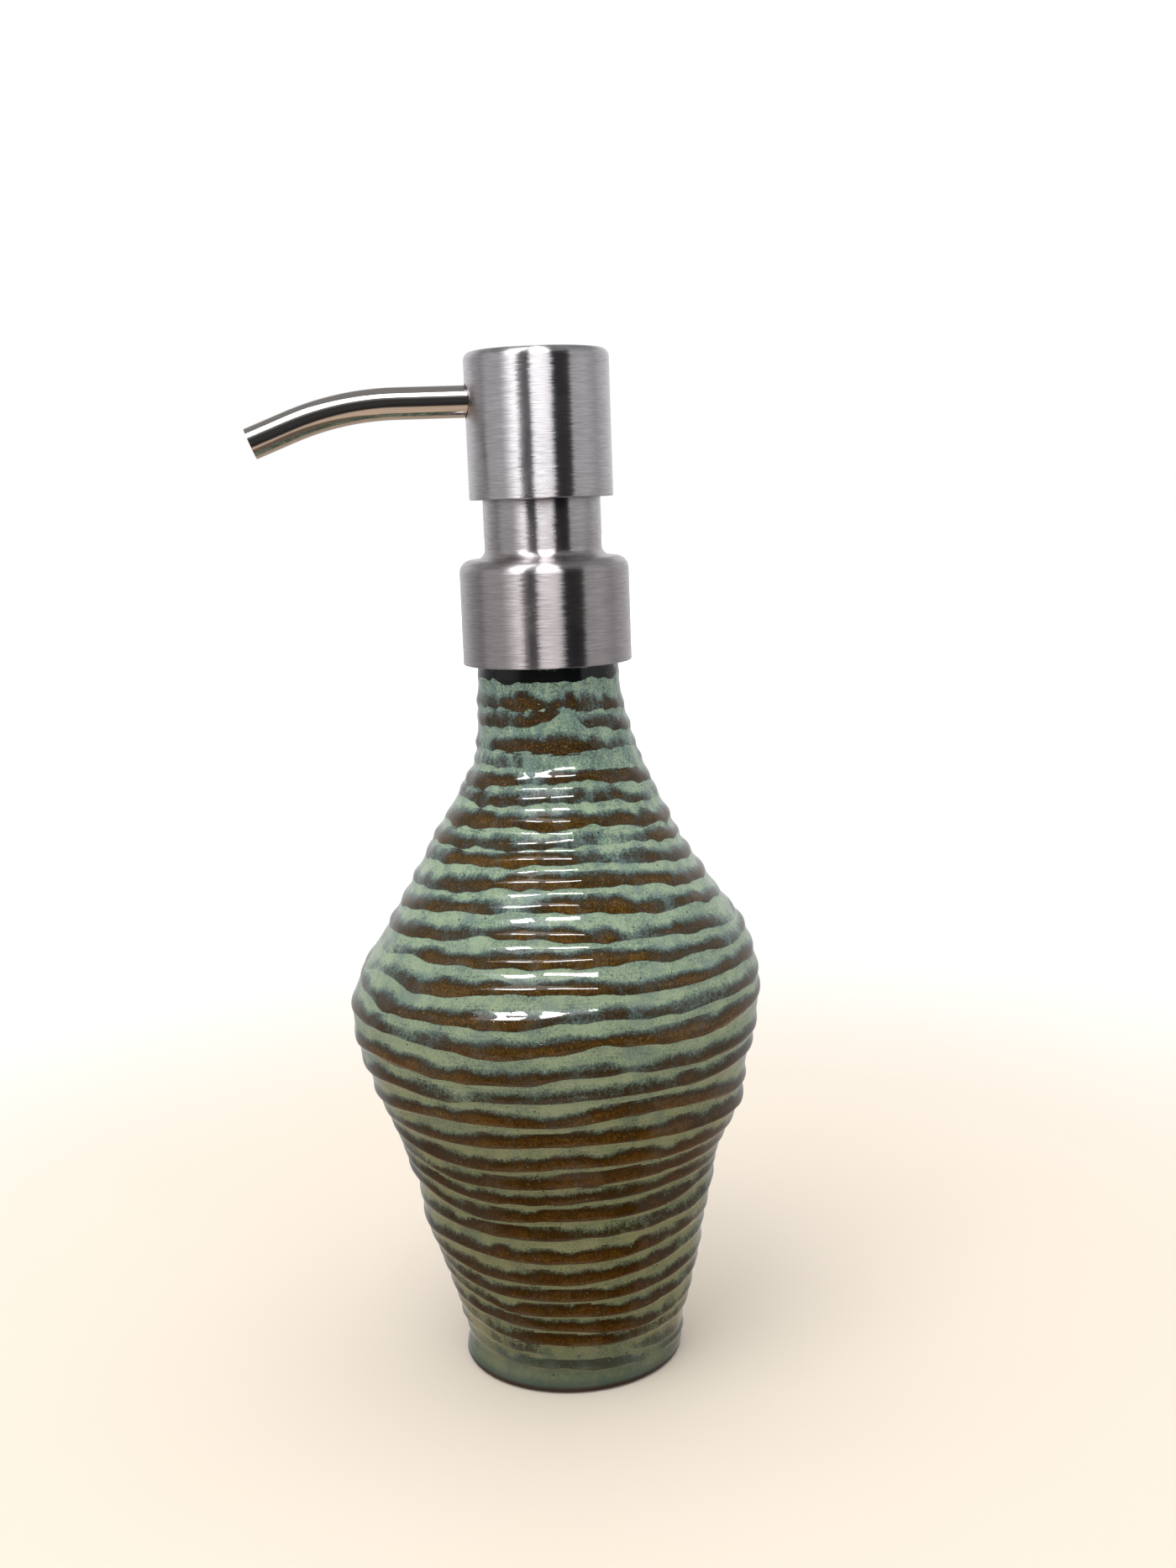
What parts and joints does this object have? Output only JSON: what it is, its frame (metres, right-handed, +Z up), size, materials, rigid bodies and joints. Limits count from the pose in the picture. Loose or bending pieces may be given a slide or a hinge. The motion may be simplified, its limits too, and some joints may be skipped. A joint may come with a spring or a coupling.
{
  "type": "soap pump dispenser",
  "caption": "Wheel-thrown glazed stoneware bottle with a screw-on steel lotion pump whose head presses down and swivels.",
  "frame": {"origin": "centre of the bottle's foot, on the surface that it stands on", "axes": "+Z up along the pump's axis, the spout points along -X at rest"},
  "size_m": [0.0984, 0.0838, 0.2052],
  "materials": {
    "stoneware_glaze": "gloss glaze, pale green in the grooves and brown on the ridges",
    "brushed_steel": "fine brushing around the axis",
    "polished_steel": "polished tube",
    "bright_steel": "bright",
    "white_plastic": "moulded, satin",
    "natural_plastic": "natural, slightly milky",
    "black_plastic": "moulded, satin",
    "soft_seal": "matt"
  },
  "bodies": {
    "bottle": {"bottle_body": "stoneware_glaze", "neck_insert": "white_plastic"},
    "pump_unit": {"pump_housing": "natural_plastic", "neck_gasket": "soft_seal", "stem_guide": "white_plastic", "stem_seal": "soft_seal", "ball_retainer": "white_plastic", "return_spring": "bright_steel", "dip_tube": "natural_plastic"},
    "collar": {"collar_shell": "brushed_steel", "threaded_closure": "white_plastic"},
    "plunger": {"piston": "natural_plastic", "piston_rod": "white_plastic"},
    "head": {"stem": "white_plastic", "head_core": "black_plastic", "head_cover": "brushed_steel", "spout_tube": "polished_steel", "spout_seal": "soft_seal"},
    "inlet_valve": {"inlet_ball": "bright_steel"},
    "outlet_valve": {"outlet_ball": "bright_steel"}
  },
  "joints": [
    {"name": "pump_lift", "type": "slide", "parent": "bottle", "child": "pump_unit", "axis": [0, 0, 1], "range_m": [0, 0.0059]},
    {"name": "collar_unscrew", "type": "hinge", "parent": "pump_unit", "child": "collar", "pos_m": [0, 0, 0.155], "axis": [0, 0, 1], "range_deg": [0, 504]},
    {"name": "head_press", "type": "slide", "parent": "pump_unit", "child": "plunger", "axis": [0, 0, -1], "range_m": [0, 0.0105], "stiffness_N_per_m": 800, "springref_m": -0.006, "deforming": ["return_spring"]},
    {"name": "head_turn", "type": "hinge", "parent": "plunger", "child": "head", "pos_m": [0, 0, 0.19], "axis": [0, 0, 1], "continuous": true},
    {"name": "inlet_ball_lift", "type": "slide", "parent": "pump_unit", "child": "inlet_valve", "axis": [0, 0, 1], "range_m": [0, 0.001]},
    {"name": "outlet_ball_lift", "type": "slide", "parent": "head", "child": "outlet_valve", "axis": [0, 0, 1], "range_m": [0, 0.0012]}
  ],
  "couplings": [
    {"joint": "collar_unscrew", "follows": "pump_lift", "rad_per_m": 1484.2}
  ]
}
